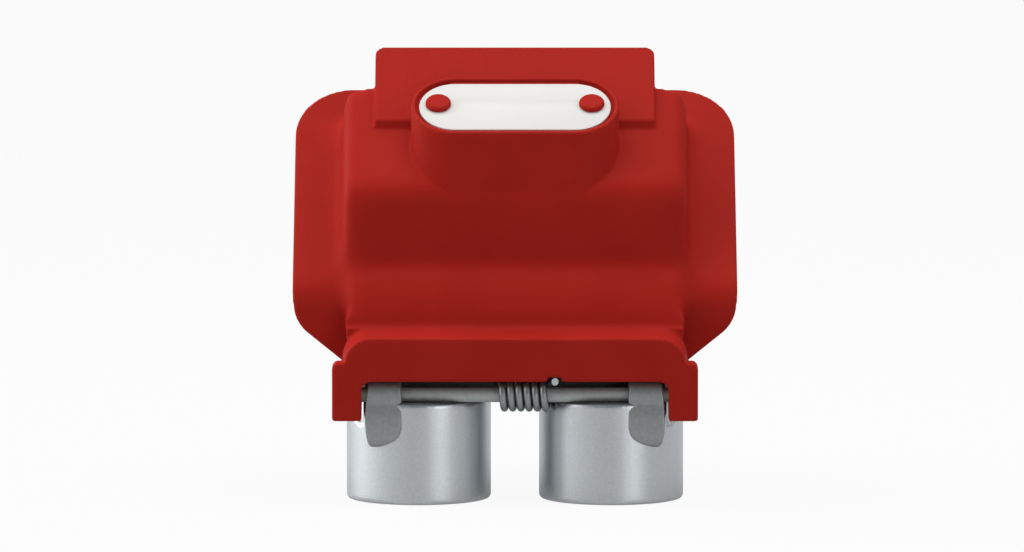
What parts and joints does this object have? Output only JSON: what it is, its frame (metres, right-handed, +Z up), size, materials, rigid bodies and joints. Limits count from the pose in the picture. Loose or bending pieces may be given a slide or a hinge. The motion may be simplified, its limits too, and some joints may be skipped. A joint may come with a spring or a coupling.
{
  "type": "twin-line air brake coupler",
  "caption": "Twin-line air brake coupler half: cast body with downward threaded ports, valve seats on a sloping face and a sprung red hinged cover with a grip lip.",
  "frame": {"origin": "bottom centre of the closed part's box, at the port stub ends", "axes": "+Z up, opposite to the port mouths; +Y to the rear mounting face; +X to the right seen from the hinge side"},
  "size_m": [0.12, 0.0694, 0.1199],
  "materials": {
    "cast_grey": "satin cast",
    "cover_red": "satin paint",
    "lug_steel": "satin",
    "pin_steel": "satin",
    "spring_steel": "satin",
    "clip_steel": "satin",
    "bush_brass": "satin",
    "plate_white": "matte",
    "rubber_black": "matte",
    "valve_brass": "satin",
    "screw_steel": "satin"
  },
  "bodies": {
    "base": {"body": "cast_grey", "lug_left": "lug_steel", "lug_right": "lug_steel", "hinge_pin": "pin_steel", "clip_left": "clip_steel", "clip_right": "clip_steel", "torsion_spring": "spring_steel", "seal_left": "rubber_black", "seal_right": "rubber_black", "guide_left": "screw_steel", "guide_right": "screw_steel", "valve_spring_left": "spring_steel", "valve_spring_right": "spring_steel"},
    "cover": {"lid": "cover_red", "bush_left": "bush_brass", "bush_right": "bush_brass", "name_plate": "plate_white", "stud_left": "cover_red", "stud_right": "cover_red", "pad_left": "rubber_black", "pad_right": "rubber_black", "pad_screw_left": "screw_steel", "pad_screw_right": "screw_steel"},
    "valve_left": {"valve_left": "valve_brass"},
    "valve_right": {"valve_right": "valve_brass"}
  },
  "joints": [
    {"name": "cover_hinge", "type": "hinge", "parent": "base", "child": "cover", "pos_m": [0, -0.02975, 0.0294], "axis": [1, 0, 0], "range_deg": [0, 70], "stiffness_Nm_per_rad": 1, "springref_deg": -20.05, "deforming": ["torsion_spring"]},
    {"name": "valve_left_slide", "type": "slide", "parent": "base", "child": "valve_left", "axis": [0, 0.7193, -0.6947], "range_m": [0, 0.004], "stiffness_N_per_m": 800, "springref_m": -0.003, "deforming": ["valve_spring_left"]},
    {"name": "valve_right_slide", "type": "slide", "parent": "base", "child": "valve_right", "axis": [0, 0.7193, -0.6947], "range_m": [0, 0.004], "stiffness_N_per_m": 800, "springref_m": -0.003, "deforming": ["valve_spring_right"]}
  ]
}
